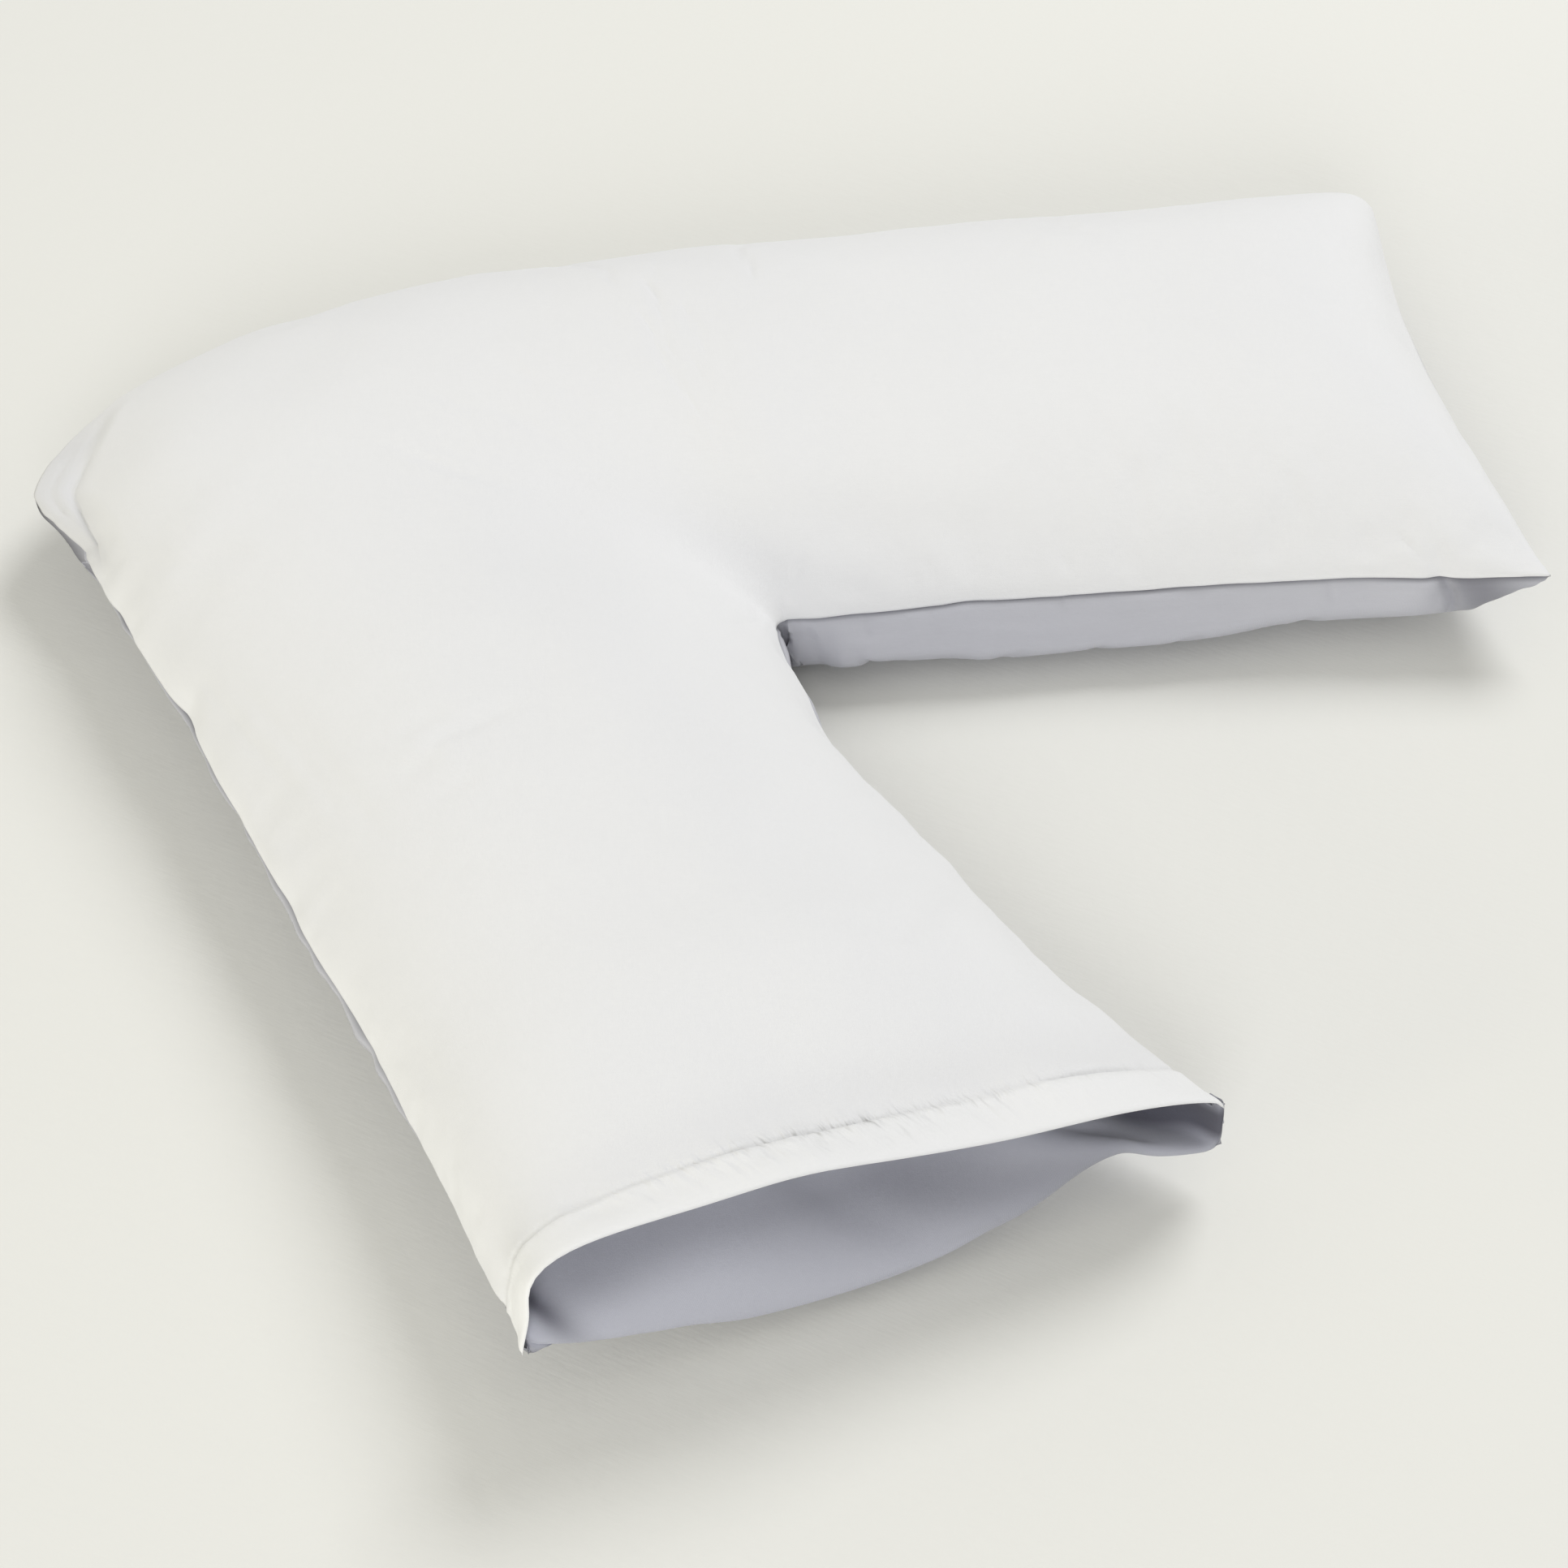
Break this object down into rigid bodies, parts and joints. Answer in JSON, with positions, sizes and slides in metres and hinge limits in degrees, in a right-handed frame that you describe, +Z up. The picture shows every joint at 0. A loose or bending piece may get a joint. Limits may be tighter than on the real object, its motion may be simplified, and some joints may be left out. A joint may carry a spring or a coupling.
{
  "type": "v-shaped pillow",
  "caption": "V-shaped support pillow, plumply filled, in a cotton case with a white top, a grey underside and a hemmed mouth with a tuck-in flap on one arm.",
  "frame": {"origin": "on the floor, under the middle of the pillow's bounding box", "axes": "+Z up out of the white face, +X from the open arm's tip towards the closed arm's tip, +Y from the notch towards the apex"},
  "size_m": [1.0914, 0.8542, 0.1248],
  "materials": {
    "grey_cotton": "matte plain weave",
    "white_cotton": "matte plain weave"
  },
  "bodies": {
    "root": {"filled_body": "grey_cotton", "top_panel": "white_cotton", "closure_flap": "grey_cotton"}
  },
  "joints": []
}
